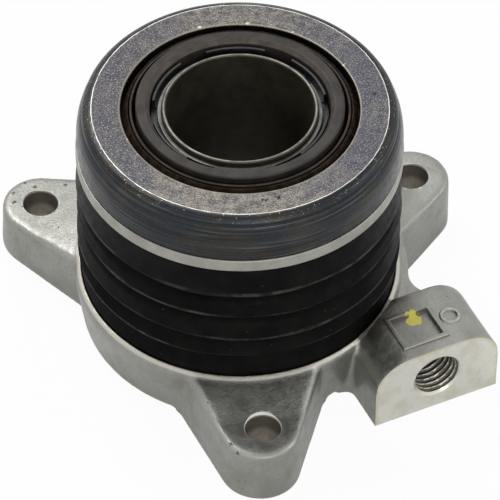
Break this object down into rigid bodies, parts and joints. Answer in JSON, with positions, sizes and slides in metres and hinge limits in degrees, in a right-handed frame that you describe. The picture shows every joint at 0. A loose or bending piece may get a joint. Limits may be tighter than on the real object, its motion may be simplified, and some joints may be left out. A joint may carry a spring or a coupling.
{
  "type": "clutch release bearing",
  "caption": "Hydraulic clutch release bearing: ball bearing on a hollow sliding piston in a cast housing with bolt ears, side oil port and rubber bellows.",
  "frame": {"origin": "middle of the bounding box's base, on the mounting face; the bearing axis stands at x = -8.63 mm, y = 4.92 mm", "axes": "+Z along the bearing axis towards the clutch, -Y out of the oil port"},
  "size_m": [0.1044, 0.1078, 0.0691],
  "materials": {
    "cast_housing": "as cast, matt",
    "sleeve": "dark oiled steel",
    "seal_rubber": "matt",
    "dust_seal": "dusty brown, matt",
    "stop_ring": "spring steel",
    "spring": "spring steel",
    "boot": "satin black",
    "piston": "moulded",
    "collar": "blue-grey, worn inner edge",
    "carrier_band": "finely turned",
    "inner_ring": "lightly rusted edge",
    "bearing_face": "ground steel, stained",
    "cage": "moulded",
    "ball": "polished"
  },
  "bodies": {
    "housing": {"housing": "cast_housing", "guide_sleeve": "sleeve", "sleeve_o_ring": "seal_rubber", "sleeve_stop_ring": "stop_ring", "preload_spring": "spring", "dust_boot": "boot"},
    "piston": {"piston": "piston", "piston_seal": "seal_rubber", "retaining_collar": "collar"},
    "centring": {"wave_spring": "spring"},
    "bearing": {"bearing_carrier": "carrier_band", "bearing_inner_ring": "inner_ring", "upper_seal": "dust_seal", "lower_seal": "seal_rubber"},
    "outer_ring": {"bearing_outer_ring": "bearing_face"},
    "cage": {"bearing_cage": "cage", "bearing_ball_01": "ball", "bearing_ball_02": "ball", "bearing_ball_03": "ball", "bearing_ball_04": "ball", "bearing_ball_05": "ball", "bearing_ball_06": "ball", "bearing_ball_07": "ball", "bearing_ball_08": "ball", "bearing_ball_09": "ball", "bearing_ball_10": "ball", "bearing_ball_11": "ball", "bearing_ball_12": "ball", "bearing_ball_13": "ball", "bearing_ball_14": "ball", "bearing_ball_15": "ball", "bearing_ball_16": "ball", "bearing_ball_17": "ball", "bearing_ball_18": "ball"}
  },
  "joints": [
    {"name": "piston_slide", "type": "slide", "parent": "housing", "child": "piston", "axis": [0, 0, 1], "range_m": [-0.016, 0], "stiffness_N_per_m": 3000, "springref_m": 0.012, "deforming": ["dust_boot", "preload_spring"]},
    {"name": "float_x", "type": "slide", "parent": "piston", "child": "centring", "axis": [1, 0, 0], "range_m": [-0.00045, 0.00045]},
    {"name": "float_y", "type": "slide", "parent": "centring", "child": "bearing", "axis": [0, 1, 0], "range_m": [-0.00045, 0.00045]},
    {"name": "outer_ring_spin", "type": "hinge", "parent": "bearing", "child": "outer_ring", "pos_m": [-0.00863, 0.00492, 0.0602], "axis": [0, 0, 1], "continuous": true},
    {"name": "cage_spin", "type": "hinge", "parent": "bearing", "child": "cage", "pos_m": [-0.00863, 0.00492, 0.0602], "axis": [0, 0, 1], "continuous": true}
  ],
  "couplings": [
    {"joint": "cage_spin", "follows": "outer_ring_spin", "ratio": 0.5372}
  ]
}
